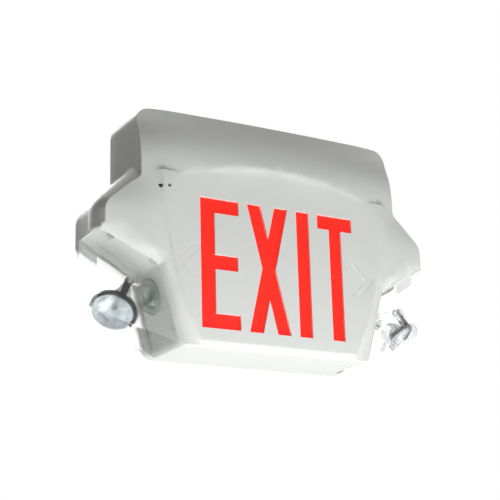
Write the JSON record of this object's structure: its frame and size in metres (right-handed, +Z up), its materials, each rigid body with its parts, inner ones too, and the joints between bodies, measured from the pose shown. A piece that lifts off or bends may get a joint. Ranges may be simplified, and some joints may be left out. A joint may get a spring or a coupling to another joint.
{
  "type": "emergency exit light",
  "caption": "Wall-mounted emergency exit sign: moulded housing with a lit legend panel and flared wings, with an adjustable lamp behind a clear cover under each wing.",
  "frame": {"origin": "centre of the junction-box screw pattern on the wall face of the back plate", "axes": "+X to the reader's right, +Y into the wall, +Z up"},
  "size_m": [0.439, 0.0943, 0.279],
  "materials": {
    "housing": "satin moulded ABS",
    "legend": "translucent red sheet",
    "light_box": "white reflector tray",
    "led_strip": "white-masked circuit strip",
    "black_plastic": "black moulded plastic",
    "status_light": "smoked light pipe",
    "battery": "black battery case",
    "steel": "zinc-plated sheet",
    "board": "green circuit board",
    "terminal": "natural nylon",
    "clear_cover": "clear polycarbonate",
    "clear_dome": "clear moulded plastic",
    "disc": "grey-green moulded plastic",
    "plated_screw": "plated screw",
    "reflector": "faceted aluminised glass",
    "lamp_glass": "clear pressed glass",
    "capsule": "quartz capsule",
    "ceramic": "glazed ceramic"
  },
  "bodies": {
    "housing": {"front_cover": "housing", "back_plate": "housing", "legend_diffuser": "legend", "light_box": "light_box", "led_strip_upper": "led_strip", "led_strip_lower": "led_strip", "test_switch": "black_plastic", "status_light": "status_light", "battery": "battery", "battery_strap": "steel", "charger_board": "board", "transformer": "steel", "terminal_block": "terminal", "lamp_cover_right": "clear_cover", "swivel_base_right": "disc", "lamp_cover_left": "clear_cover", "swivel_base_left": "disc"},
    "right_swivel": {"swivel_dome_right": "clear_dome", "pan_hub_right": "black_plastic", "tilt_screw_right": "plated_screw"},
    "left_swivel": {"swivel_dome_left": "clear_dome", "pan_hub_left": "black_plastic", "tilt_screw_left": "plated_screw"},
    "right_lamp": {"lamp_arm_right": "black_plastic", "lamp_ring_right": "black_plastic", "lamp_reflector_right": "reflector", "lamp_lens_right": "lamp_glass", "lamp_capsule_right": "capsule", "lamp_socket_right": "ceramic"},
    "left_lamp": {"lamp_arm_left": "black_plastic", "lamp_ring_left": "black_plastic", "lamp_reflector_left": "reflector", "lamp_lens_left": "lamp_glass", "lamp_capsule_left": "capsule", "lamp_socket_left": "ceramic"},
    "test_button": {"test_button": "black_plastic"}
  },
  "joints": [
    {"name": "right_pan", "type": "hinge", "parent": "housing", "child": "right_swivel", "pos_m": [0.14146, -0.043, -0.0765], "axis": [0.9631, 0, -0.269], "range_deg": [-8, 8]},
    {"name": "right_tilt", "type": "hinge", "parent": "right_swivel", "child": "right_lamp", "pos_m": [0.179, -0.065, -0.068], "axis": [0, 1, 0], "range_deg": [-6, 10]},
    {"name": "left_pan", "type": "hinge", "parent": "housing", "child": "left_swivel", "pos_m": [-0.14146, -0.043, -0.0765], "axis": [-0.9631, 0, -0.269], "range_deg": [-8, 8]},
    {"name": "left_tilt", "type": "hinge", "parent": "left_swivel", "child": "left_lamp", "pos_m": [-0.179, -0.065, -0.068], "axis": [0, 1, 0], "range_deg": [-10, 6]},
    {"name": "test_press", "type": "slide", "parent": "housing", "child": "test_button", "axis": [0, 1, 0], "range_m": [0, 0.0012], "stiffness_N_per_m": 400}
  ]
}
